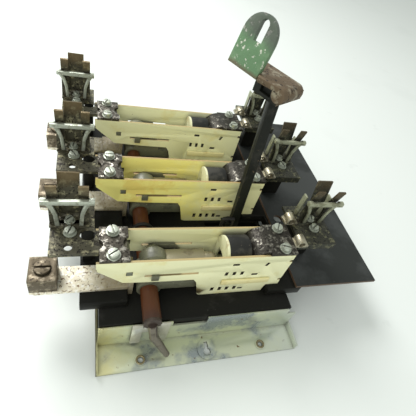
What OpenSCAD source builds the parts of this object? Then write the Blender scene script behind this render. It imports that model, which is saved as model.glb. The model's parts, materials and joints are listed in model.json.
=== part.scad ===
// Three-pole fused knife blade switch on a formed steel pan.
// Origin: centre of the four pan holes, on the underside of the pan. +X runs along the poles,
// from the wire lugs to the load end, +Y runs from the front pole to the rear pole, +Z is up.

/* [Base] */
// Distance between neighbouring poles
pole_pitch = 74.5; // [70:0.5:80]
// Top of the moulded base block above the mounting face
block_top = 31; // [26:0.5:34]
// Top of the end rails
rail_top = 40; // [38:0.5:42]
// Sheet steel thickness of the pan
pan_t = 1.5; // [1:0.1:2]
// Radius of the pan mounting holes
pan_hole_r = 2; // [1.5:0.1:3]
// Thickness of the insulating sheet
sheet_t = 2.4; // [1:0.1:4]

/* [Poles] */
// Thickness of the fibre side plates
plate_t = 1.6; // [1.2:0.1:2]
// Outer width over the two side plates of a pole
plate_gap = 27.6; // [26:0.2:30]
// Top edge of the side plates
plate_top = 80; // [80:0.5:81.5]
// Centre height of the guide slots
slot_z = 63; // [61:0.5:65]

/* [Moving parts] */
// Outer diameter of the fibre crossbar tube
tube_d = 12.7; // [12:0.1:14]
// Diameter of the steel rod inside the crossbar tube
rod_d = 8; // [7:0.1:10]
// Height of the crossbar axis
tube_z = 40.5; // [39:0.5:42]
// Radius of the drive crank
crank_r = 43; // [42:0.5:43.5]
// Height of the operating lever pivot
pivot_z = 7; // [6:0.5:8]
// Lean of the operating lever in the open position, degrees
lever_lean = 5; // [4:0.5:6]

/* [Lugs] */
// Radius of the wire hole in each lug
lug_hole_r = 4.6; // [3:0.1:5]

/* [Fuse clips] */
// Offset of the fuse axis behind the pole centre
clip_off = 21; // [18:0.5:24]
// Opening between the clip jaws at the pinch
clip_gap = 2.8; // [1.4:0.1:4]

/* [Hidden] */
$fn = 48;
x0 = -84;
y0 = -217;
plate_in = plate_gap / 2 - plate_t;
pan_hole_x = [35.4, 132.6];
pan_hole_y = 88.3;
screw_x = [14, 135];
screw_off = 9.2;
terminal_t = 2.2;
strap_t = 2.6;
arch_z = 68.5;
arch_r = 9.7;
left_clip_x = -12.4;
right_clip_x = 168.5;
tube_x = 40.5;
pivot_x = 126.4;
crank_angle = 18.3;
head = [93, 185, 182];
head_turn = -60;
head_z = 170.5;

function pole_y(k) = 135.5 + pole_pitch * (k - 1);

module row() {
  translate([x0, y0, 0]) children();
}

// A box from its low and high corners.
module slab(a, b) {
  translate(a) cube([b[0] - a[0], b[1] - a[1], b[2] - a[2]]);
}

// A flat profile drawn in X and Z, standing across Y.
module across(y_low, y_high) {
  translate([0, y_high, 0]) rotate([90, 0, 0]) linear_extrude(y_high - y_low) children();
}

// A flat profile drawn in Y and Z, standing across X.
module along(x_low, x_high) {
  translate([x_low, 0, 0]) rotate([90, 0, 90]) linear_extrude(x_high - x_low) children();
}

module rod_y(x, z, y_low, y_high, r) {
  translate([x, y_low, z]) rotate([-90, 0, 0]) cylinder(h = y_high - y_low, r = r);
}

module rod_x(y, z, x_low, x_high, r) {
  translate([x_low, y, z]) rotate([0, 90, 0]) cylinder(h = x_high - x_low, r = r);
}

// ---- Base: pan, block, rails and sheet ----

module pan_half() {
  slab([5.5, 81.5, 0], [161.5, 217, pan_t]);
  slab([5.5, 102, 0], [161.5, 102 + pan_t, 24]);
  slab([5.5, 102, 23], [57.5, 102 + pan_t, 29.5]);
  slab([84, 102, 23], [153, 102 + pan_t, 30.5]);
  slab([5.5 - pan_t, 81.5, 0], [5.5, 217, 7.5]);
  slab([161.5, 81.5, 0], [161.5 + pan_t, 217, 7.5]);
  translate([86.7, 89.5, 0]) cylinder(h = 2.7, r = 7.5);
  translate([86.7, 91.5, 0]) cylinder(h = 2.7, r = 6.5);
  for (x = pan_hole_x) translate([x, pan_hole_y, 0]) cylinder(h = 2.3, r = 4.2);
}

module pan_half_holes() {
  for (x = pan_hole_x) translate([x, pan_hole_y, -1]) cylinder(h = 5, r = pan_hole_r);
  translate([86.7, 88, -1]) cylinder(h = 6, r = 3);
  slab([85.2, 88, -1], [88.2, 95.5, 5]);
}

module mounting_pan() color([0.72, 0.72, 0.66]) row() {
  difference() {
    union() {
      pan_half();
      translate([0, -2 * y0, 0]) mirror([0, 1, 0]) pan_half();
    }
    pan_half_holes();
    translate([0, -2 * y0, 0]) mirror([0, 1, 0]) pan_half_holes();
  }
}

module base_block() color([0.07, 0.07, 0.07]) row() {
  difference() {
    slab([6, 104, pan_t], [155.5, 330, block_top]);
    slab([100, 176, pan_t - 1], [152, 194, block_top + 1]);
    rod_y(pivot_x, pivot_z, 166, 204, 3);
  }
}

module end_rail_left() color([0.08, 0.08, 0.08]) row() {
  slab([-6.6, 116.5, block_top], [25.5, 318, rail_top]);
}

module end_rail_right() color([0.08, 0.08, 0.08]) row() {
  difference() {
    slab([135, 116.5, block_top], [166, 318, rail_top]);
    slab([134, 176, block_top - 1], [158, 194, rail_top + 1]);
  }
}

module insulating_sheet() color([0.1, 0.1, 0.1]) row() {
  difference() {
    slab([160, 116.5, rail_top], [240.5, 348, rail_top + sheet_t]);
    for (k = [1, 2]) translate([169.5, pole_y(k) + 53, rail_top - 1]) cylinder(h = sheet_t + 2, r = 4);
  }
}

// ---- Poles: side plates, terminals and contacts ----

module plate_outline() {
  difference() {
    union() {
      polygon([[3.6, plate_top], [143.5, plate_top], [143.5, 74], [141.5, 74], [141.5, 71.5],
        [144, 71.5], [144.3, 48.5], [142, 48.5], [142, 46], [144.5, 46], [144.8, rail_top],
        [134, rail_top], [133, 34], [133, block_top], [81, block_top], [77.5, 34.5],
        [73.6, 50], [70.8, 54.2], [45, 54.6], [21, 55.8], [4.2, 71.2], [4.2, 73.5], [3.6, 73.5]]);
      translate([81, block_top + 3.5]) circle(r = 3.5);
    }
    translate([34.8, slot_z - 1.2]) square([37.6, 2.4]);
    translate([22.4, 64.6]) square([4.2, 4.2]);
    for (x = [94.6, 100.7, 106.9]) translate([x - 1.2, 57.4]) square([2.4, 4.4]);
    translate([96.2, 70.2]) square([5, 2.2]);
    translate([123.9, 70]) rotate(-20) square([2.2, 4.2], center = true);
    translate([115.4, 56]) square([5, 2.2]);
    for (x = [88.6, 94.8, 100.7, 107]) translate([x - 1.3, 36.2]) square([2.6, 4.6]);
    translate([110, 36.4]) square([4, 2]);
  }
}

module side_plate(k, side) color([0.86, 0.87, 0.66]) row() {
  y = side < 0 ? pole_y(k) - plate_gap / 2 : pole_y(k) + plate_in;
  across(y, y + plate_t) plate_outline();
}

module side_plate_front_1() side_plate(1, -1);
module side_plate_front_2() side_plate(2, -1);
module side_plate_front_3() side_plate(3, -1);
module side_plate_rear_1() side_plate(1, 1);
module side_plate_rear_2() side_plate(2, 1);
module side_plate_rear_3() side_plate(3, 1);

// Proud retaining strips on the outside of the side plates.
module chute_strips() color([0.82, 0.8, 0.5]) row() {
  for (k = [1:3]) for (s = [-1, 1]) {
    y = pole_y(k) + s * (plate_gap / 2 + 0.9);
    slab([93, y - 0.9, 46.5], [132.5, y + 0.9, 52]);
  }
}

// Notched terminal plate bridging the left ends of both side plates.
module load_terminal(k) color([0.45, 0.4, 0.38]) row() {
  y = pole_y(k);
  difference() {
    slab([5.5, y - 13.6, plate_top], [24, y + 13.6, plate_top + terminal_t]);
    for (s = [-1, 1]) translate([screw_x[0], y + s * screw_off, plate_top - 1]) cylinder(h = 5, r = 2.2);
    translate([26, y, plate_top - 1]) cylinder(h = 5, r = 5.6);
    translate([4.5, y - 0.5, plate_top - 1]) cylinder(h = 5, r = 3.4);
  }
}

module load_terminal_1() load_terminal(1);
module load_terminal_2() load_terminal(2);
module load_terminal_3() load_terminal(3);

// Right terminal: flat top plate, rolled arc horn and a contact stem below it.
module fixed_contact(k) color([0.33, 0.31, 0.3]) row() {
  y = pole_y(k);
  difference() {
    slab([123, y - 13.6, plate_top], [144.5, y + 13.6, plate_top + terminal_t]);
    for (s = [-1, 1]) translate([screw_x[1], y + s * screw_off, plate_top - 1]) cylinder(h = 5, r = 2.2);
  }
  across(y - 11.8, y + 11.8) {
    difference() {
      translate([123, plate_top - 9.3]) circle(r = 11.5);
      translate([123, plate_top - 9.3]) circle(r = 9.2);
      translate([123, plate_top - 30]) square([20, 50]);
      translate([105, plate_top - 30]) square([30, 20.7]);
    }
    translate([111.5, plate_top - 11.5]) square([9, 2.3]);
    translate([117.5, 48]) square([3.2, plate_top - 57.2]);
    translate([121, plate_top - 0.1]) square([4, 2.3]);
  }
}

module fixed_contact_1() fixed_contact(1);
module fixed_contact_2() fixed_contact(2);
module fixed_contact_3() fixed_contact(3);

// Curled straps that join each right terminal to its fuse clip.
module link_straps() color([0.72, 0.6, 0.32]) row() {
  for (k = [1:3]) for (d = [-3, 19]) {
    y = pole_y(k) + d;
    across(y - 4, y + 4) difference() {
      union() {
        translate([150, plate_top + 2.8]) circle(r = 4);
        translate([144.5, plate_top]) square([4, 2]);
        translate([151, plate_top]) square([5, 2]);
      }
      translate([150, plate_top + 2.8]) circle(r = 2.4);
      translate([143, plate_top - 4]) square([14, 4]);
    }
  }
}

// Slotted screws of the terminals and clips.
module slotted_screw(x, y, z, r, turn) {
  translate([x, y, z]) rotate([0, 0, turn]) difference() {
    union() {
      cylinder(h = 0.8, r = r + 1);
      cylinder(h = 3.4, r = r);
    }
    translate([-r - 1, -0.5, 2.4]) cube([2 * r + 2, 1, 2]);
  }
}

module screws() color([0.66, 0.7, 0.63]) row() {
  for (k = [1:3]) {
    y = pole_y(k);
    for (s = [-1, 1]) {
      screw_y = y + s * screw_off;
      for (x = screw_x) translate([x, screw_y, plate_top - 6]) cylinder(h = 8.5, r = 2);
      slotted_screw(screw_x[0], screw_y, plate_top + terminal_t, 3.4, 70 * k + 35 * s);
      slotted_screw(screw_x[1], screw_y, plate_top + terminal_t, 3.4, 110 * k - 50 * s);
    }
    slotted_screw(left_clip_x, y + clip_off - 2.3, plate_top + 2, 2.4, 40 * k);
    slotted_screw(right_clip_x, y + clip_off - 2.3, plate_top + 2, 2.4, 75 * k);
    slotted_screw(left_clip_x + 0.4, y + 10.6, plate_top, 3.1, 50 * k + 20);
    slotted_screw(right_clip_x + 1, y + 10.6, plate_top, 3.1, 65 * k - 30);
  }
}

// ---- Arc hoods over the closed contacts ----

module hood_outline(r) {
  translate([0, arch_z]) circle(r = r);
  translate([-r, 50]) square([2 * r, arch_z - 50]);
}

module arc_hood(k) color([0.12, 0.12, 0.13]) row() {
  translate([0, pole_y(k), 0]) along(93.8, 110.6) difference() {
    hood_outline(plate_in);
    hood_outline(arch_r);
    translate([-arch_r, 45]) square([2 * arch_r, 10]);
    translate([-15, 30]) square([30, 20]);
  }
}

module arc_hood_1() arc_hood(1);
module arc_hood_2() arc_hood(2);
module arc_hood_3() arc_hood(3);

module arc_end_plates() color([0.85, 0.86, 0.66]) row() {
  for (k = [1:3]) translate([0, pole_y(k), 0]) along(92, 93.8) difference() {
    hood_outline(plate_in);
    translate([0, 60]) circle(r = 6.8);
    translate([-6.8, 54]) square([13.6, 12]);
    translate([-15, 30]) square([30, 20]);
  }
}

// ---- Fuse clips: one wide rear jaw and two narrow front jaws on a strap ----

module jaw_profile() {
  h = clip_gap / 2;
  polygon([[h, 81.8], [h + 3, 81.8], [h + 1.5, 100], [h + 5.4, 117], [h + 3.9, 117.4], [h, 100.4],
    [h + 1.4, 84]]);
}

module clip(k, x) {
  y = pole_y(k) + clip_off;
  translate([x, y, 0]) {
    slab([-12, -6.3, plate_top], [12, 7.5, plate_top + 2]);
    along(-6.4, 6.4) jaw_profile();
    mirror([0, 1, 0]) {
      along(-11.8, -5.8) jaw_profile();
      along(5.8, 11.8) jaw_profile();
    }
  }
}

module clip_left(k) color([0.5, 0.4, 0.3]) row() {
  y = pole_y(k);
  clip(k, left_clip_x);
  difference() {
    union() {
      slab([-23.8, y - 6, plate_top - strap_t], [2.9, y + 35, plate_top]);
      slab([2.8, y - 6, plate_top - strap_t], [23, y + 12, plate_top]);
    }
    translate([-1.2, y + 9.3, plate_top - 4]) cylinder(h = 6, r = 5);
    translate([-12.8, y - 0.4, plate_top - 4]) cylinder(h = 6, r = 2.6);
    translate([screw_x[0], y + screw_off, plate_top - 4]) cylinder(h = 6, r = 2.2);
  }
}

module clip_left_1() clip_left(1);
module clip_left_2() clip_left(2);
module clip_left_3() clip_left(3);

module clip_right(k) color([0.5, 0.42, 0.3]) row() {
  y = pole_y(k);
  clip(k, right_clip_x);
  slab([151, y - 3, plate_top - strap_t], [183.5, y + 35, plate_top]);
  slab([151, y - 4.6, plate_top - 6], [183.5, y - 3, plate_top]);
}

module clip_right_1() clip_right(1);
module clip_right_2() clip_right(2);
module clip_right_3() clip_right(3);

// Steel clip spring: two curled leaves that carry a bail bar across the front.
module clip_spring(k, x) color([0.7, 0.72, 0.64]) row() {
  y = pole_y(k) + clip_off;
  translate([x, y, 0]) {
    for (s = [-1, 1]) {
      rod_x(-6.6, 105.4, s * 13.4 - 1.6, s * 13.4 + 1.6, 2.2);
      across(-6.2, -4.8) polygon([[s * 5.8, 82], [s * 8.4, 82], [s * 9, 92], [s * 10.8, 98],
        [s * 13.4, 102.4], [s * 13.4, 105], [s * 11.4, 105], [s * 8.6, 99.6], [s * 6.8, 93]]);
      slab([s * 10.8 - 0.7, 1.8, 82], [s * 10.8 + 0.7, 6.4, 103]);
    }
    slab([-15.2, -8.6, 103.8], [15.2, -6.4, 107]);
  }
}

module spring_left_1() clip_spring(1, left_clip_x);
module spring_left_2() clip_spring(2, left_clip_x);
module spring_left_3() clip_spring(3, left_clip_x);
module spring_right_1() clip_spring(1, right_clip_x);
module spring_right_2() clip_spring(2, right_clip_x);
module spring_right_3() clip_spring(3, right_clip_x);

// Moulded posts that carry the clip straps.
module clip_posts() color([0.08, 0.08, 0.08]) row() {
  for (k = [1:3]) {
    y = pole_y(k);
    slab([-5.5, y + 15.5, rail_top], [2.5, y + 33, plate_top - strap_t]);
    slab([162, y + 12, rail_top + sheet_t], [180, y + 33, plate_top - strap_t]);
  }
}

// ---- Line straps and wire lugs ----

module line_strap(k) color([0.78, 0.7, 0.6]) row() {
  y = pole_y(k);
  slab([-35, y - 10, rail_top], [26, y + 10, rail_top + strap_t]);
  slab([-37.5, y - 9.4, rail_top], [-34, y + 9.4, rail_top + strap_t]);
  slab([11, y - 10, rail_top + strap_t], [26, y + 10, rail_top + 4.4]);
  slab([26, y - 9.6, block_top + 1], [29.4, y + 9.6, 52]);
}

module line_strap_1() line_strap(1);
module line_strap_2() line_strap(2);
module line_strap_3() line_strap(3);

module lug(k) color([0.5, 0.45, 0.36]) row() {
  y = pole_y(k);
  z = rail_top + strap_t;
  difference() {
    slab([-37.5, y - 9.4, z], [-20.5, y + 9.4, z + 14]);
    rod_x(y, z + 6, -38, -20, lug_hole_r);
    translate([-29, y, z + 10.2]) cylinder(h = 10, r = 5.2);
  }
}

module lug_1() lug(1);
module lug_2() lug(2);
module lug_3() lug(3);

module lug_screws() color([0.55, 0.52, 0.42]) row() {
  z = rail_top + strap_t;
  for (k = [1:3]) translate([-29, pole_y(k), z + 10.8]) difference() {
    cylinder(h = 5.4, r = 5.15);
    translate([-6, -0.8, 3.8]) cube([12, 1.6, 3]);
  }
}

// ---- Crossbar: slides along +X with the three carriers ----

module crossbar_tube() color([0.45, 0.24, 0.18]) row() {
  difference() {
    rod_y(tube_x, tube_z, 99.9, 312, tube_d / 2);
    rod_y(tube_x, tube_z, 98, 320, rod_d / 2);
    slab([tube_x - 3.2, 99, 30], [tube_x + 3.2, 101.4, tube_z]);
  }
}

// A round bar between two points, for bent rod work.
module strut(a, b, ra, rb) {
  d = b - a;
  translate(a) rotate([0, acos(d[2] / norm(d)), atan2(d[1], d[0])]) cylinder(h = norm(d), r1 = ra, r2 = rb);
}

// Steel core of the crossbar; a collar and a bent, tapered finger close its front end.
module crossbar_rod() color([0.5, 0.48, 0.44]) row() {
  rod_y(tube_x, tube_z, 97.6, 314, rod_d / 2);
  rod_y(tube_x, tube_z, 97.6, 99.9, tube_d / 2);
  knee = [43, 95.4, 25];
  strut([tube_x, 98.4, tube_z - 1], knee, 3.5, 3.2);
  translate(knee) sphere(r = 3.45);
  strut(knee, [54.2, 88, 7], 3.3, 2.3);
}

// Plated shoe with two ears that reach down to the pan flange.
module end_shoe() color([0.74, 0.74, 0.68]) row() {
  slab([28, 99.9, 5], [35.4, 101.4, 34]);
  slab([47.4, 99.9, 5], [55, 101.4, 34]);
  slab([35, 99.9, 23], [48, 101.4, 30]);
  slab([tube_x - 3, 99.9, 29], [tube_x + 3, 101.4, tube_z - rod_d / 2 + 0.3]);
}

module drive_link() color([0.4, 0.4, 0.38]) row() {
  difference() {
    union() {
      rod_y(tube_x, tube_z, 177.2, 180, 8.6);
      slab([tube_x - 4, 177.2, 33], [118.5, 180, 43]);
      slab([107, 177.2, 33], [118.5, 180, pivot_z + 47.5]);
    }
    rod_y(tube_x, tube_z, 177, 181, tube_d / 2);
    across(176, 182) {
      translate([pivot_x - 13.5, pivot_z + 39.2]) circle(r = 3.35);
      translate([pivot_x - 13.5, pivot_z + 43.4]) circle(r = 3.35);
      translate([pivot_x - 16.85, pivot_z + 39.2]) square([6.7, 4.2]);
    }
  }
}

// Moulded carrier clamped on the crossbar, guided by tongues in the side plate slots.
module carrier(k) color([0.5, 0.52, 0.42]) row() {
  y = pole_y(k);
  difference() {
    union() {
      rod_y(42, 62, y - 4, y + 4, 9.5);
      translate([42, y + 4, 62]) rotate([-90, 0, 0]) cylinder(h = 7.4, r1 = 9.5, r2 = 3);
      translate([42, y - 4, 62]) rotate([90, 0, 0]) cylinder(h = 7.4, r1 = 9.5, r2 = 3);
      rod_y(tube_x, tube_z, y - 11.4, y + 11.4, 8.8);
      slab([33.5, y - 4, tube_z], [50, y + 4, 62]);
      slab([tube_x, y - 11.4, 40], [76, y + 11.4, 48.4]);
      for (s = [-1, 1]) {
        slab([40, y + s * 13.35 - 2.2, slot_z - 1.1], [44, y + s * 13.35 + 2.2, slot_z + 1.1]);
        slab([39.5, y + s * 14.8 - 0.75, 58.8], [44.5, y + s * 14.8 + 0.75, 64.2]);
        translate([0, y + s * 10.3, 0]) across(-0.9, 0.9)
          polygon([[40, 48], [64, 48], [64, 58], [58.5, 65.6], [42, 66.4]]);
      }
    }
    rod_y(tube_x, tube_z, y - 13, y + 13, tube_d / 2);
    slab([46, y - 6.1, 54.9], [82, y + 6.1, 65.1]);
  }
}

module carrier_1() carrier(1);
module carrier_2() carrier(2);
module carrier_3() carrier(3);

module moving_contact(k) color([0.66, 0.63, 0.48]) row() {
  y = pole_y(k);
  slab([46, y - 6, 55], [79.5, y + 6, 65]);
  rod_x(y, 60, 79.5, 84, 5.6);
  translate([84, y, 60]) sphere(r = 5.6);
}

module moving_contact_1() moving_contact(1);
module moving_contact_2() moving_contact(2);
module moving_contact_3() moving_contact(3);

// ---- Operating lever: turns about the pivot pin ----

module pivot_pin() color([0.5, 0.5, 0.5]) row() {
  rod_y(pivot_x, pivot_z, 166, 204, 3);
}

module lever_bar() color([0.09, 0.09, 0.09]) row() {
  difference() {
    union() {
      translate([pivot_x, 0, pivot_z]) across(183.6, 188.6)
        rotate(lever_lean) polygon([[-4, 0], [4, 0], [3.6, 167], [-3.6, 167]]);
      rod_y(pivot_x, pivot_z, 181, 190, 5.2);
      translate([pivot_x, 0, pivot_z]) across(181.2, 183.8)
        rotate(crank_angle) polygon([[-5, 0], [5, 0], [4, crank_r + 3], [-4, crank_r + 3]]);
      translate([pivot_x, 0, pivot_z]) rotate([0, -crank_angle, 0]) translate([0, 177, crank_r])
        rotate([-90, 0, 0]) cylinder(h = 5, r = 3);
    }
    rod_y(pivot_x, pivot_z, 170, 200, 3.05);
    slab([90, 180, head_z], [140, 195, 190]);
  }
}

// Rusty bent strap on top of the lever, over a dark socket that takes the bar.
module lever_arm() color([0.35, 0.24, 0.17]) row() {
  translate(head) rotate([0, 0, head_turn]) difference() {
    union() {
      translate([0, 0, -3.2]) linear_extrude(3.2)
        polygon([[4, -2.7], [-7.6, 19.7], [19.3, 20.5], [19.3, 0.8]]);
      translate([19.2, 0.8, -4.8]) rotate([-90, 0, 0]) cylinder(h = 19.7, r = 4.8);
      slab([0.5, 1.8, head_z - head[2]], [22.5, 23, -3]);
    }
    slab([5.5, 0, -9.2], [14, 5, -5]);
    slab([20, -1, -13], [25, 25, -9]);
  }
}

// Slotted end tab for the outside handle.
module lever_tab() color([0.2, 0.34, 0.2]) row() {
  translate(head) rotate([0, 0, head_turn]) rotate([-14, 0, 0]) difference() {
    across(0, 3) union() {
      polygon([[-22.6, -3.6], [1.8, -3.6], [2.4, 10], [2.4, 17.5], [-22.2, 17.5], [-22.4, 4]]);
      translate([-9.9, 17.3]) circle(r = 12.2);
    }
    across(-1, 5) {
      translate([-12, 14]) square([6, 10.5]);
      translate([-9, 24]) circle(r = 3);
    }
  }
}

mounting_pan();
base_block();
end_rail_left();
end_rail_right();
insulating_sheet();
side_plate_front_1();
side_plate_front_2();
side_plate_front_3();
side_plate_rear_1();
side_plate_rear_2();
side_plate_rear_3();
chute_strips();
load_terminal_1();
load_terminal_2();
load_terminal_3();
fixed_contact_1();
fixed_contact_2();
fixed_contact_3();
link_straps();
screws();
arc_hood_1();
arc_hood_2();
arc_hood_3();
arc_end_plates();
clip_left_1();
clip_left_2();
clip_left_3();
clip_right_1();
clip_right_2();
clip_right_3();
spring_left_1();
spring_left_2();
spring_left_3();
spring_right_1();
spring_right_2();
spring_right_3();
clip_posts();
line_strap_1();
line_strap_2();
line_strap_3();
lug_1();
lug_2();
lug_3();
lug_screws();
pivot_pin();
crossbar_tube();
crossbar_rod();
end_shoe();
drive_link();
carrier_1();
carrier_2();
carrier_3();
moving_contact_1();
moving_contact_2();
moving_contact_3();
lever_bar();
lever_arm();
lever_tab();
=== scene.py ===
import json
import math

import bpy
from mathutils import Matrix, Vector


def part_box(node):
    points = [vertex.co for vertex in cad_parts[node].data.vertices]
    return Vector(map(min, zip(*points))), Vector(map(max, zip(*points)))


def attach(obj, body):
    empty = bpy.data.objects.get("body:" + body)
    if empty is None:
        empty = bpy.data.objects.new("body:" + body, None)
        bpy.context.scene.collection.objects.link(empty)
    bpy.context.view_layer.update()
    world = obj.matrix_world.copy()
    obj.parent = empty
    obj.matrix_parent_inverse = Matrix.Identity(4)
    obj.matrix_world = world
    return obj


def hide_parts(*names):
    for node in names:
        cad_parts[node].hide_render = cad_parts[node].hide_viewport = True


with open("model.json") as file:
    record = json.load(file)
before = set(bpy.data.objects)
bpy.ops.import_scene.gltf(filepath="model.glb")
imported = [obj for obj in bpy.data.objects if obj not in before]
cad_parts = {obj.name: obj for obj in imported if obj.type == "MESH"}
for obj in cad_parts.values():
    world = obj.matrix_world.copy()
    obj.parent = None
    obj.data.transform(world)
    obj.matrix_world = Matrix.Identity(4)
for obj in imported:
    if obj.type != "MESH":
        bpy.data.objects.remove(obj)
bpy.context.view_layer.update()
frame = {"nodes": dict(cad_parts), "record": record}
bpy.ops.object.select_all(action="DESELECT")

# ---- Cream side plates ----
# Six sheets of vulcanised fibre, punched with guide slots and small windows. The faces have
# aged to a greenish cream and the sawn edges have gone brown.

mm = 0.001


def feed(tree, socket, value):
    """Gives an input socket its value: another node's output, an RGB colour or a number."""
    if isinstance(value, bpy.types.NodeSocket):
        tree.links.new(value, socket)
    elif isinstance(value, tuple):
        socket.default_value = (*value, 1)
    else:
        socket.default_value = value


def reckon(tree, operation, *terms):
    """A maths node over sockets and numbers."""
    node = tree.nodes.new("ShaderNodeMath")
    node.operation = operation
    for socket, term in zip(node.inputs, terms):
        feed(tree, socket, term)
    return node.outputs[0]


def ramp(tree, value, start, end, low=0.0, high=1.0):
    """low where value is start, high where it is end, and a straight line between them."""
    node = tree.nodes.new("ShaderNodeMapRange")
    for label, term in (("Value", value), ("From Min", start), ("From Max", end),
                        ("To Min", low), ("To Max", high)):
        feed(tree, node.inputs[label], term)
    return node.outputs["Result"]


def mixed(tree, factor, under, over):
    """A colour that turns from under into over as factor goes from 0 to 1."""
    node = tree.nodes.new("ShaderNodeMix")
    node.data_type = "RGBA"
    under_socket, over_socket, result = node.inputs[6], node.inputs[7], node.outputs[2]
    feed(tree, node.inputs["Factor"], factor)
    feed(tree, under_socket, under)
    feed(tree, over_socket, over)
    return result


def noise(tree, vector, scale, detail, roughness=0.5):
    """Fractal noise from 0 to 1 over a vector."""
    node = tree.nodes.new("ShaderNodeTexNoise")
    for label, term in (("Vector", vector), ("Scale", scale), ("Detail", detail),
                        ("Roughness", roughness)):
        feed(tree, node.inputs[label], term)
    return node.outputs["Fac"]


def effect(name, inputs, outputs):
    """An empty node group with named sockets, and those sockets as seen from inside it."""
    tree = bpy.data.node_groups.new(name, "ShaderNodeTree")
    for direction, sockets in (("INPUT", inputs), ("OUTPUT", outputs)):
        for label, kind in sockets.items():
            tree.interface.new_socket(label, in_out=direction, socket_type=f"NodeSocket{kind}")
    inside = tree.nodes.new("NodeGroupInput").outputs
    outside = tree.nodes.new("NodeGroupOutput").inputs
    return tree, inside, outside


def placed(tree, group, values):
    """Places an effect in a material, with its input values by name. Returns its outputs."""
    node = tree.nodes.new("ShaderNodeGroup")
    node.node_tree = group
    for label, value in values.items():
        feed(tree, node.inputs[label], value)
    return node.outputs


def mottle_effect():
    """Two sizes of blotch over a base colour, for tarnish, stains and chips. Cover runs from 0
    for none to about 0.3 for most of the surface. Height is a fine grain with sunken specks."""
    tree, inside, outside = effect(
        "mottle",
        {"Vector": "Vector", "Base": "Color", "Patch": "Color", "Speck": "Color",
         "Patch Scale": "Float", "Patch Cover": "Float",
         "Speck Scale": "Float", "Speck Cover": "Float"},
        {"Color": "Color", "Patch Mask": "Float", "Height": "Float"})
    noise_peak, speck_depth = 0.72, -0.8
    colour = inside["Base"]
    masks = {}
    for label, soft_edge, detail in (("Patch", 0.10, 5), ("Speck", 0.03, 4)):
        blotches = noise(tree, inside["Vector"], inside[f"{label} Scale"], detail, 0.62)
        threshold = reckon(tree, "SUBTRACT", noise_peak, inside[f"{label} Cover"])
        full = reckon(tree, "ADD", threshold, soft_edge)
        masks[label] = ramp(tree, blotches, threshold, full)
        colour = mixed(tree, masks[label], colour, inside[label])
    grain = noise(tree, inside["Vector"], 900, 3)
    tree.links.new(colour, outside["Color"])
    tree.links.new(masks["Patch"], outside["Patch Mask"])
    tree.links.new(reckon(tree, "MULTIPLY_ADD", masks["Speck"], speck_depth, grain),
                   outside["Height"])
    return tree


def fade_effect():
    """Most of a colour turns into a shade as Place goes from Start to End, with a ragged front."""
    tree, inside, outside = effect(
        "fade",
        {"Color": "Color", "Shade": "Color", "Vector": "Vector", "Place": "Float",
         "Start": "Float", "End": "Float"},
        {"Color": "Color"})
    most = 0.8
    span = reckon(tree, "ABSOLUTE", reckon(tree, "SUBTRACT", inside["End"], inside["Start"]))
    swing = reckon(tree, "MULTIPLY", span, 1.6)
    half_swing = reckon(tree, "MULTIPLY", swing, 0.5)
    ragged = noise(tree, inside["Vector"], 130, 5)
    shifted = reckon(tree, "MULTIPLY_ADD", ragged, swing, inside["Place"])
    start = reckon(tree, "ADD", inside["Start"], half_swing)
    end = reckon(tree, "ADD", inside["End"], half_swing)
    front = ramp(tree, shifted, start, end, 0.0, most)
    tree.links.new(mixed(tree, front, inside["Color"], inside["Shade"]), outside["Color"])
    return tree


def cut_edge_effect():
    """Another colour where a face turns away from an axis. Facing is the normal along it."""
    tree, inside, outside = effect(
        "cut_edge", {"Color": "Color", "Edge": "Color", "Facing": "Float"}, {"Color": "Color"})
    rim = ramp(tree, reckon(tree, "ABSOLUTE", inside["Facing"]), 0.85, 0.55)
    tree.links.new(mixed(tree, rim, inside["Color"], inside["Edge"]), outside["Color"])
    return tree


def corner_shade_effect():
    """Painted shade, dark brown, where little open air reaches, down to 1 - Amount of the colour.
    """
    tree, inside, outside = effect(
        "corner_shade", {"Color": "Color", "Open Air": "Float", "Amount": "Float"}, {"Color": "Color"})
    least = reckon(tree, "SUBTRACT", 1.0, inside["Amount"])
    unshaded = ramp(tree, inside["Open Air"], 0.35, 0.9, least, 1.0)
    # The dark brown of the painted shade in corners.
    shade_colour = (0.03, 0.024, 0.015)
    tree.links.new(mixed(tree, unshaded, shade_colour, inside["Color"]), outside["Color"])
    return tree


mottle = mottle_effect()
fade = fade_effect()
cut_edge = cut_edge_effect()
corner_shade_group = corner_shade_effect()


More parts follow.
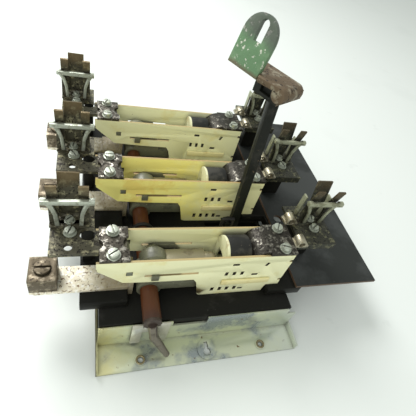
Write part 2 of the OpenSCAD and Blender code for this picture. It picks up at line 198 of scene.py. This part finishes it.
def finish(name, base, patch, speck, patch_scale=60, patch_cover=0.15, speck_scale=400,
           speck_cover=0.05, rough=0.5, patch_rough=0.6, metal=0.0, bump=0.15, shine=0.5,
           corner_shade=0.0, edge=None, edge_axis="Y", stretch=(1, 1, 1), worn=()):
    """A surface with blotches and specks. edge colours the faces that don't look along
    edge_axis, each row of worn, (axis, start, end, colour), fades to a colour between two
    places in metres, and corner_shade paints shade into inner corners."""
    material = bpy.data.materials.new(name)
    material.use_nodes = True
    tree = material.node_tree
    shader = tree.nodes["Principled BSDF"].inputs
    place = tree.nodes.new("ShaderNodeTexCoord").outputs
    mapping = tree.nodes.new("ShaderNodeMapping")
    mapping.inputs["Scale"].default_value = stretch
    tree.links.new(place["Object"], mapping.inputs["Vector"])
    spots = placed(tree, mottle, {
        "Vector": mapping.outputs["Vector"], "Base": base, "Patch": patch, "Speck": speck,
        "Patch Scale": patch_scale, "Patch Cover": patch_cover,
        "Speck Scale": speck_scale, "Speck Cover": speck_cover})
    colour = spots["Color"]
    for axis, start, end, shade in worn:
        where = tree.nodes.new("ShaderNodeSeparateXYZ")
        tree.links.new(place["Object"], where.inputs["Vector"])
        colour = placed(tree, fade, {
            "Color": colour, "Shade": shade, "Vector": place["Object"],
            "Place": where.outputs[axis], "Start": start, "End": end})["Color"]
    if edge:
        facing = tree.nodes.new("ShaderNodeSeparateXYZ")
        tree.links.new(place["Normal"], facing.inputs["Vector"])
        colour = placed(tree, cut_edge, {
            "Color": colour, "Edge": edge, "Facing": facing.outputs[edge_axis]})["Color"]
    # Painted shade: corners that ambient occlusion finds are darkened towards a dark brown.
    if corner_shade:
        corner = tree.nodes.new("ShaderNodeAmbientOcclusion")
        corner.samples = 6
        corner.inputs["Distance"].default_value = 4 * mm
        colour = placed(tree, corner_shade_group, {
            "Color": colour, "Open Air": corner.outputs["AO"], "Amount": corner_shade})["Color"]
    tree.links.new(colour, shader["Base Color"])
    gloss = ramp(tree, spots["Patch Mask"], 0, 1, rough, patch_rough)
    tree.links.new(gloss, shader["Roughness"])
    shader["Metallic"].default_value = metal
    shader["Specular IOR Level"].default_value = shine
    relief = tree.nodes.new("ShaderNodeBump")
    relief.inputs["Strength"].default_value = bump
    relief.inputs["Distance"].default_value = 0.4 * mm
    tree.links.new(spots["Height"], relief.inputs["Height"])
    tree.links.new(relief.outputs["Normal"], shader["Normal"])
    return material


def pick(piece):
    """Makes one object the only one selected, and active."""
    bpy.ops.object.select_all(action="DESELECT")
    piece.select_set(True)
    bpy.context.view_layer.objects.active = piece


def settle(piece):
    """Moves a piece's place into its mesh, as a CAD node has it."""
    pick(piece)
    bpy.ops.object.transform_apply(location=True, rotation=True, scale=True)


def dressed(piece, material, body):
    """Gives a piece its material and its slot, and mounts it on a body."""
    piece.data.materials.clear()
    piece.data.materials.append(material)
    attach(piece, body)


def softened(node, material, body, width=0.35, segments=2):
    """A copy of a node with broken edges, width in mm, which takes the node's place."""
    source = frame["nodes"][node]
    piece = source.copy()
    piece.data = source.data.copy()
    piece.name = node + "_made"
    piece.parent = None
    piece.matrix_world = Matrix()
    bpy.context.collection.objects.link(piece)
    pick(piece)
    bpy.ops.object.mode_set(mode="EDIT")
    bpy.ops.mesh.select_all(action="SELECT")
    bpy.ops.mesh.remove_doubles(threshold=0.01 * mm)
    bpy.ops.mesh.dissolve_limited(angle_limit=math.radians(2))
    bpy.ops.object.mode_set(mode="OBJECT")
    bevel = piece.modifiers.new("edges", "BEVEL")
    bevel.width = width * mm
    bevel.segments = segments
    bevel.limit_method = "ANGLE"
    bevel.angle_limit = math.radians(30)
    bpy.ops.object.modifier_apply(modifier=bevel.name)
    bpy.ops.object.shade_smooth_by_angle(angle=math.radians(35))
    dressed(piece, material, body)
    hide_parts(node)
    return piece


cream = finish(
    "cream_fibre", base=(0.80, 0.79, 0.49), patch=(0.76, 0.71, 0.37),
    speck=(0.30, 0.20, 0.08), patch_scale=38, patch_cover=0.16, speck_scale=260, speck_cover=0.01,
    rough=0.42, patch_rough=0.55, bump=0.08, corner_shade=0.35,
    edge=(0.40, 0.31, 0.14))
amber = finish(
    "cream_fibre_amber", base=(0.90, 0.82, 0.27), patch=(0.82, 0.66, 0.18),
    speck=(0.30, 0.18, 0.07), patch_scale=38, patch_cover=0.2, speck_scale=260, speck_cover=0.01,
    rough=0.42, patch_rough=0.55, bump=0.08,
    edge=(0.38, 0.27, 0.11),
    worn=[("X", -0.015, 0.03, (0.80, 0.79, 0.49))])
strip_fibre = finish(
    "strip_fibre", base=(0.76, 0.69, 0.36), patch=(0.66, 0.56, 0.25),
    speck=(0.30, 0.18, 0.07), patch_scale=60, patch_cover=0.2, speck_scale=260, speck_cover=0.02,
    rough=0.45, bump=0.08)
sooty = finish(
    "sooty_fibre", base=(0.045, 0.038, 0.022), patch=(0.09, 0.075, 0.04),
    speck=(0.02, 0.016, 0.01), patch_scale=300, speck_scale=600,
    rough=0.7, patch_rough=0.8, bump=0.2)
poles = (1, 2, 3)

# The cut faces of the square tie window and of the vent windows are black with soot.
tie_window = (-63, -56, 60, 70)
vent_windows = (1, 44, 35, 76)


def within(place, window):
    """Whether a place is in a window given as its low and high X and low and high Z, in mm."""
    left, right, bottom, top = (side * mm for side in window)
    return left < place.x < right and bottom < place.z < top


for k in poles:
    for side in ("front", "rear"):
        fibre = amber if k == 2 else cream
        plate = softened(f"side_plate_{side}_{k}", fibre, "base", 0.25, 1)
        plate.data.materials.append(sooty)
        for face in plate.data.polygons:
            punched = within(face.center, tie_window) or within(face.center, vent_windows)
            if abs(face.normal.y) < 0.9 and punched:
                face.material_index = 1
softened("chute_strips", strip_fibre, "base", 0.5)

# ---- Tie studs ----
# A steel stud ties the two plates of each pole through their square windows. It has a square
# head on both sides that fills the window.

stud_metal = finish(
    "stud_steel", base=(0.20, 0.21, 0.16), patch=(0.34, 0.34, 0.27),
    speck=(0.08, 0.06, 0.04), patch_scale=200, speck_scale=500,
    rough=0.45, metal=0.5, bump=0.3, corner_shade=0.5)
stud_x, stud_z = -59.5 * mm, 66.7 * mm
stud_r, stud_length = 1.5 * mm, 26 * mm
head_side, head_t = 3.6 * mm, 1.4 * mm
head_y = 13.5 * mm
for k in poles:
    front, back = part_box(f"load_terminal_{k}")
    pole_y = (front.y + back.y) / 2
    bpy.ops.mesh.primitive_cylinder_add(vertices=32, radius=stud_r, depth=stud_length,
                                        location=(stud_x, pole_y, stud_z),
                                        rotation=(math.pi / 2, 0, 0))
    stud = bpy.context.object
    stud.name = f"tie_stud_{k}"
    settle(stud)
    for side in (-1, 1):
        bpy.ops.mesh.primitive_cube_add(size=1, location=(stud_x, pole_y + side * head_y, stud_z),
                                        scale=(head_side, head_t, head_side))
        head = bpy.context.object
        bpy.ops.object.mode_set(mode="EDIT")
        bpy.ops.mesh.select_all(action="SELECT")
        bpy.ops.mesh.bevel(offset=0.3 * mm, segments=2, affect="EDGES")
        bpy.ops.object.mode_set(mode="OBJECT")
        settle(head)
        pick(stud)
        head.select_set(True)
        bpy.ops.object.join()
    bpy.ops.object.shade_smooth_by_angle(angle=math.radians(35))
    dressed(stud, stud_metal, "base")

# ---- Arc end plates ----
# A cream fibre plate closes the left end of each arc hood, with an opening that lets the
# moving contact through.

cream_ends = finish(
    "cream_fibre_ends", base=(0.66, 0.65, 0.42), patch=(0.50, 0.44, 0.24),
    speck=(0.16, 0.11, 0.05), patch_scale=90, patch_cover=0.18, speck_scale=300, speck_cover=0.03,
    rough=0.45, bump=0.1)
softened("arc_end_plates", cream_ends, "base", 0.2, 1)

# ---- Pan ----
# A shallow pan folded from zinc-plated sheet steel, with a yellow passivation that has worn to
# blue-grey. Keyhole bosses are pressed into both flanges.

pan_finish = finish(
    "pan_steel", base=(0.60, 0.63, 0.46), patch=(0.30, 0.335, 0.335),
    speck=(0.17, 0.10, 0.04), patch_scale=26, patch_cover=0.22, speck_scale=230, speck_cover=0.05,
    rough=0.36, patch_rough=0.26, metal=0.7, bump=0.12, corner_shade=0.6,
    worn=[("X", -0.056, -0.076, (0.60, 0.56, 0.27)),
          ("X", -0.0788, -0.0796, (0.10, 0.095, 0.075)),
          ("X", 0.035, 0.07, (0.58, 0.62, 0.54))])
softened("mounting_pan", pan_finish, "base", 0.4)

# ---- Pan eyelets ----
# A rolled brass eyelet lines each of the four mounting holes, so that the screws don't bite
# into the thin sheet.

eyelet_finish = finish(
    "eyelet_brass", base=(0.26, 0.22, 0.12), patch=(0.12, 0.09, 0.05),
    speck=(0.04, 0.03, 0.02), patch_scale=200, speck_scale=500,
    rough=0.4, metal=0.7, bump=0.2, corner_shade=0.8)
pan_holes = next(mount for mount in frame["record"]["mounts"] if mount["name"] == "pan_holes")
eyelet_x = pan_holes["dims"]["spacing_x_mm"] / 2 * mm
eyelet_y = pan_holes["dims"]["spacing_y_mm"] / 2 * mm
eyelet_z = 2.3 * mm
for row, hole_y in enumerate((-eyelet_y, eyelet_y)):
    for column, hole_x in enumerate((-eyelet_x, eyelet_x)):
        centre = (hole_x, hole_y, eyelet_z)
        bpy.ops.mesh.primitive_torus_add(major_radius=2.8 * mm, minor_radius=0.8 * mm,
                                         major_segments=40, minor_segments=12, location=centre)
        eyelet = bpy.context.object
        eyelet.name = f"eyelet_{row + 1}_{column + 1}"
        bpy.ops.object.mode_set(mode="EDIT")
        bpy.ops.transform.resize(value=(1, 1, 0.7), center_override=centre)
        bpy.ops.object.mode_set(mode="OBJECT")
        settle(eyelet)
        bpy.ops.object.shade_smooth()
        dressed(eyelet, eyelet_finish, "base")

# ---- Base block, rails and posts ----
# Compression-moulded black phenolic: one deep block, two end rails that carry the contacts, and
# a post under each fuse clip. The surface is satin with grey rub marks.

phenolic = finish(
    "phenolic", base=(0.011, 0.011, 0.009), patch=(0.026, 0.025, 0.022),
    speck=(0.10, 0.095, 0.085),
    patch_scale=30, patch_cover=0.14, speck_scale=500, speck_cover=0.015,
    rough=0.3, patch_rough=0.45, bump=0.06, shine=0.08)
softened("base_block", phenolic, "base", 0.7)
softened("end_rail_left", phenolic, "base", 0.8)
softened("end_rail_right", phenolic, "base", 0.8)
softened("clip_posts", phenolic, "base", 0.8)

# ---- Insulating sheet ----
# A stiff black fibre sheet that lies flat on the right rail and shields the load end. Its cut
# edges show the brown core.

sheet_finish = finish(
    "sheet_fibre", base=(0.017, 0.019, 0.017), patch=(0.035, 0.038, 0.036),
    speck=(0.10, 0.09, 0.08), patch_scale=16, patch_cover=0.22, speck_scale=420, speck_cover=0.0,
    rough=0.5, patch_rough=0.42, bump=0.05, shine=0.24,
    edge=(0.095, 0.06, 0.036), edge_axis="Z")
softened("insulating_sheet", sheet_finish, "base", 0.15, 1)

# ---- Sheet rivet ----
# A low brass rivet head near the middle of the sheet, which holds it to the rail below.

rivet_finish = finish(
    "rivet_brass", base=(0.30, 0.24, 0.12), patch=(0.16, 0.12, 0.06),
    speck=(0.05, 0.035, 0.02), patch_scale=300, speck_scale=700,
    rough=0.4, metal=0.7, corner_shade=0.6)
rivet_centre = (108 * mm, 26 * mm, 42.3 * mm)
rivet_foot = (0, 0, 42.35 * mm)
bpy.ops.mesh.primitive_uv_sphere_add(segments=32, ring_count=16, radius=2.6 * mm,
                                     location=rivet_centre)
rivet = bpy.context.object
rivet.name = "sheet_rivet"
bpy.ops.object.mode_set(mode="EDIT")
bpy.ops.mesh.select_all(action="SELECT")
bpy.ops.transform.resize(value=(1, 1, 0.4), center_override=rivet_centre)
bpy.ops.mesh.bisect(plane_co=rivet_foot, plane_no=(0, 0, 1), use_fill=True, clear_inner=True)
bpy.ops.object.mode_set(mode="OBJECT")
settle(rivet)
bpy.ops.object.shade_smooth_by_angle(angle=math.radians(50))
dressed(rivet, rivet_finish, "base")

# ---- Arc hoods ----
# A dark arched moulding in each pole that surrounds the closed contact and cools the arc. It
# is held between the two side plates.

arc_finish = finish(
    "arc_fibre", base=(0.017, 0.017, 0.015), patch=(0.042, 0.040, 0.033),
    speck=(0.14, 0.12, 0.09), patch_scale=70, patch_cover=0.2, speck_scale=500, speck_cover=0.04,
    rough=0.45, patch_rough=0.6, bump=0.15, shine=0.2)
for k in poles:
    softened(f"arc_hood_{k}", arc_finish, "base", 0.4)

# ---- Terminals, straps and lugs ----
# Tin-plated copper, blotched by heat and handling. A bronze box lug is screwed on the line
# end, and curled brass straps join each right terminal to its fuse clip.

speckled = finish(
    "speckled_tin", base=(0.075, 0.066, 0.052), patch=(0.42, 0.395, 0.34),
    speck=(0.02, 0.016, 0.013),
    patch_scale=240, patch_cover=0.2, speck_scale=560, speck_cover=0.16,
    rough=0.45, patch_rough=0.3, metal=0.75, bump=0.45, corner_shade=0.6)
# A darker copy of the speckled tin for the fixed contacts.
dark_speckled = finish(
    "dark_speckled_tin", base=(0.040, 0.036, 0.028), patch=(0.24, 0.225, 0.185),
    speck=(0.015, 0.012, 0.01),
    patch_scale=240, patch_cover=0.19, speck_scale=560, speck_cover=0.16,
    rough=0.45, patch_rough=0.32, metal=0.7, bump=0.45, corner_shade=0.6)
bright_strap = finish(
    "bright_tin", base=(0.82, 0.75, 0.57), patch=(0.95, 0.92, 0.82),
    speck=(0.26, 0.17, 0.09), patch_scale=360, patch_cover=0.22, speck_scale=520, speck_cover=0.13,
    rough=0.45, patch_rough=0.35, metal=0.1, bump=0.6,
    # Towards its right end the strap turns a darker gold-brown.
    worn=[("X", -0.083, -0.074, (0.20, 0.155, 0.075))])
# The line-side clips get a lighter, more ochre copy of the clip copper: painted light.
lit_line_copper = finish(
    "lit_line_clip_copper", base=(0.075, 0.069, 0.044), patch=(0.27, 0.25, 0.15),
    speck=(0.018, 0.015, 0.01),
    patch_scale=230, patch_cover=0.2, speck_scale=520, speck_cover=0.16,
    rough=0.38, patch_rough=0.35, metal=0.55, bump=0.4, corner_shade=0.6,
    worn=[("Z", 0.107, 0.115, (0.16, 0.115, 0.055))])
# The load-side clips get a darker, more olive copy of the same copper: painted shade.
shaded_load_copper = finish(
    "shaded_load_clip_copper", base=(0.038, 0.038, 0.024), patch=(0.15, 0.145, 0.08),
    speck=(0.012, 0.011, 0.008),
    patch_scale=230, patch_cover=0.19, speck_scale=520, speck_cover=0.18,
    rough=0.42, patch_rough=0.38, metal=0.5, bump=0.4, corner_shade=0.6,
    worn=[("Z", 0.107, 0.115, (0.085, 0.062, 0.03))])
bronze = finish(
    "lug_bronze", base=(0.12, 0.095, 0.06), patch=(0.32, 0.27, 0.19),
    speck=(0.035, 0.024, 0.015),
    patch_scale=170, patch_cover=0.2, speck_scale=500, speck_cover=0.12,
    rough=0.5, patch_rough=0.4, metal=0.6, bump=0.4, corner_shade=0.7)
brass = finish(
    "brass_parts", base=(0.36, 0.33, 0.24), patch=(0.24, 0.20, 0.12),
    speck=(0.08, 0.05, 0.03), patch_scale=120, patch_cover=0.2, speck_scale=450, speck_cover=0.06,
    rough=0.35, patch_rough=0.5, metal=0.8, bump=0.25)
for k in poles:
    softened(f"load_terminal_{k}", speckled, "base", 0.3)
    softened(f"fixed_contact_{k}", dark_speckled, "base", 0.3)
    softened(f"line_strap_{k}", bright_strap, "base", 0.4)
    softened(f"lug_{k}", bronze, "base", 1.0)
    softened(f"clip_left_{k}", lit_line_copper, "base", 0.3, 1)
    softened(f"clip_right_{k}", shaded_load_copper, "base", 0.3, 1)
softened("link_straps", brass, "base", 0.25)

# ---- Screws and clip springs ----
# Zinc-plated steel: cheese-head screws with flat washers, and a spring frame round each clip
# that presses its jaws together. The load-side springs get a darker, more olive copy of the
# finish: painted shade, with a duller tone.

zinc = finish(
    "plated_steel", base=(0.46, 0.49, 0.41), patch=(0.30, 0.31, 0.24),
    speck=(0.13, 0.08, 0.04), patch_scale=190, patch_cover=0.18, speck_scale=480, speck_cover=0.06,
    rough=0.36, patch_rough=0.5, metal=0.65, bump=0.25, corner_shade=0.75)
# A darker copy for the load-side springs: painted shade, with a more olive, duller tone.
shaded_dull_zinc = finish(
    "shaded_dull_zinc", base=(0.35, 0.36, 0.25), patch=(0.22, 0.22, 0.14),
    speck=(0.10, 0.07, 0.03), patch_scale=150, patch_cover=0.2, speck_scale=430, speck_cover=0.08,
    rough=0.42, patch_rough=0.5, metal=0.6, bump=0.3, corner_shade=0.75)
softened("screws", zinc, "base", 0.4, 3)
softened("lug_screws", bronze, "base", 0.3)
for k in poles:
    softened(f"spring_left_{k}", zinc, "base", 0.35)
    softened(f"spring_right_{k}", shaded_dull_zinc, "base", 0.35)

# ---- Crossbar ----
# A red-brown fibre tube over a steel rod, clamped to the three carriers. A plated shoe and a
# tapered finger close its front end.

red_fibre = finish(
    "red_fibre", base=(0.083, 0.027, 0.008), patch=(0.115, 0.042, 0.015),
    speck=(0.035, 0.012, 0.006),
    patch_scale=60, patch_cover=0.2, speck_scale=400, speck_cover=0.05,
    rough=0.42, patch_rough=0.5, bump=0.12, shine=0.3,
    stretch=(1, 0.3, 1),
    worn=[("Y", -0.108, -0.116, (0.05, 0.022, 0.014))])
steel = finish(
    "bare_steel", base=(0.20, 0.175, 0.14), patch=(0.10, 0.08, 0.06),
    speck=(0.05, 0.03, 0.02), patch_scale=90, patch_cover=0.2, speck_scale=400, speck_cover=0.06,
    rough=0.35, patch_rough=0.5, metal=0.8, bump=0.2)
shoe_finish = finish(
    "shoe_steel", base=(0.52, 0.50, 0.42), patch=(0.60, 0.60, 0.55),
    speck=(0.14, 0.09, 0.05), patch_scale=60, patch_cover=0.2, speck_scale=300, speck_cover=0.03,
    rough=0.4, patch_rough=0.3, metal=0.5, bump=0.15)
softened("crossbar_tube", red_fibre, "crossbar", 0.4)
collar_finish = finish(
    "collar_steel", base=(0.05, 0.034, 0.026), patch=(0.10, 0.075, 0.055),
    speck=(0.02, 0.015, 0.012), patch_scale=200, speck_scale=500,
    rough=0.5, metal=0.3, bump=0.2)
rod = softened("crossbar_rod", steel, "crossbar", 0.3)
rod.data.materials.append(collar_finish)
collar_back, collar_bottom = -116.5 * mm, 33.5 * mm
for face in rod.data.polygons:
    if face.center.y < collar_back and face.center.z > collar_bottom:
        face.material_index = 1
softened("end_shoe", shoe_finish, "crossbar", 0.3)
link_black = finish(
    "link_black", base=(0.02, 0.019, 0.018), patch=(0.05, 0.045, 0.04),
    speck=(0.09, 0.07, 0.05), patch_scale=90, speck_scale=400,
    rough=0.5, metal=0.2, bump=0.2, shine=0.2)
softened("drive_link", link_black, "crossbar", 0.3)
softened("pivot_pin", steel, "base", 0.3)

# ---- Carriers and moving contacts ----
# Grey-green mouldings clamped on the crossbar, one in each pole. Each holds a plated contact
# bar and slides on tongues in the slots of its side plates.

moulding = finish(
    "moulded_carrier", base=(0.125, 0.125, 0.082), patch=(0.075, 0.075, 0.05),
    speck=(0.27, 0.25, 0.17), patch_scale=80, patch_cover=0.2, speck_scale=450, speck_cover=0.06,
    rough=0.38, patch_rough=0.5, bump=0.15, corner_shade=0.5)
contact_metal = finish(
    "contact_metal", base=(0.30, 0.27, 0.18), patch=(0.20, 0.17, 0.11),
    speck=(0.08, 0.06, 0.04), patch_scale=90, patch_cover=0.2, speck_scale=450, speck_cover=0.05,
    rough=0.38, patch_rough=0.5, metal=0.5, bump=0.15)
for k in poles:
    softened(f"carrier_{k}", moulding, "crossbar", 0.35)
    softened(f"moving_contact_{k}", contact_metal, "crossbar", 0.5)

# ---- Lever ----
# A square black bar on the pivot pin, a bent rusty strap across its top, and a slotted green
# end tab for the outside handle.

black = finish(
    "black_paint", base=(0.011, 0.012, 0.009), patch=(0.026, 0.026, 0.021),
    speck=(0.12, 0.085, 0.05), patch_scale=70, patch_cover=0.18, speck_scale=380, speck_cover=0.05,
    rough=0.35, patch_rough=0.5, bump=0.2, shine=0.18)
rust = finish(
    "rusty_steel", base=(0.14, 0.098, 0.058), patch=(0.31, 0.27, 0.19),
    speck=(0.04, 0.026, 0.016),
    patch_scale=100, patch_cover=0.2, speck_scale=350, speck_cover=0.14,
    rough=0.6, patch_rough=0.4, metal=0.5, bump=0.5)
green = finish(
    "green_paint", base=(0.115, 0.215, 0.105), patch=(0.15, 0.25, 0.13),
    speck=(0.62, 0.62, 0.52), patch_scale=60, patch_cover=0.2, speck_scale=330, speck_cover=0.12,
    rough=0.4, patch_rough=0.5, bump=0.6,
    worn=[("Z", 0.194, 0.201, (0.075, 0.075, 0.068)),
          ("Z", 0.1815, 0.1795, (0.12, 0.08, 0.045))])
softened("lever_bar", black, "lever", 0.7)
arm = softened("lever_arm", rust, "lever", 0.8)
arm.data.materials.append(black)
arm_corner = Vector((9, -32, 182)) * mm
along_arm = Vector((0.5, -0.866, 0))
strap_bottom, socket_end = -3.3 * mm, 16.5 * mm
for face in arm.data.polygons:
    offset = face.center - arm_corner
    if offset.z < strap_bottom and offset.dot(along_arm) < socket_end:
        face.material_index = 1
softened("lever_tab", green, "lever", 0.5)

# ---- Floor, light and camera ----
# A plain pale table under soft daylight from two large panels, seen from above the front
# left corner, where someone at a bench would stand.

bpy.ops.mesh.primitive_plane_add(size=6, location=(0, 0, -0.2 * mm))
table_top = bpy.context.object
table_top.name = "table_top"
table_finish = finish(
    "table_white", base=(0.69, 0.72, 0.69), patch=(0.67, 0.70, 0.67),
    speck=(0.66, 0.69, 0.66), patch_scale=4, speck_scale=30,
    rough=0.5, patch_rough=0.55, bump=0.0)
table_top.data.materials.append(table_finish)

world = bpy.context.scene.world or bpy.data.worlds.new("studio")
bpy.context.scene.world = world
world.use_nodes = True
sky = world.node_tree.nodes["Background"].inputs
sky["Color"].default_value = (0.95, 1.0, 0.96, 1)
sky["Strength"].default_value = 0.70


def panel(name, place, aim, size, power):
    """A round soft light of a size in metres and a power in watts, turned to its aim."""
    light = bpy.data.lights.new(name, "AREA")
    light.shape = "DISK"
    light.size = size
    light.energy = power
    holder = bpy.data.objects.new(name, light)
    bpy.context.collection.objects.link(holder)
    holder.location = place
    holder.rotation_euler = (Vector(aim) - Vector(place)).to_track_quat("-Z", "Y").to_euler()


panel("window_light", (-0.45, 0.75, 1.0), (0, 0, 0), 0.7, 16)
panel("room_light", (-0.6, -0.8, 0.9), (0, 0, 0.05), 0.9, 6)

camera = bpy.data.objects.new("camera", bpy.data.cameras.new("camera"))
bpy.context.collection.objects.link(camera)
camera.data.sensor_width = 36
camera.data.lens = 30.19

# Where the eye is, the direction of the picture's rows, and the direction it looks in.
eye = Vector((-0.084, -0.217, 0.268))
across = Vector((0.9474, -0.2089, 0.2427)).normalized()
ahead = Vector((0.3202, 0.6310, -0.7066)).normalized()
upward = across.cross(ahead).normalized()
across = ahead.cross(upward)
turn = Matrix((across, upward, -ahead)).transposed()
camera.matrix_world = Matrix.Translation(eye) @ turn.to_4x4()
bpy.context.scene.camera = camera
bpy.context.scene.view_settings.view_transform = "Standard"
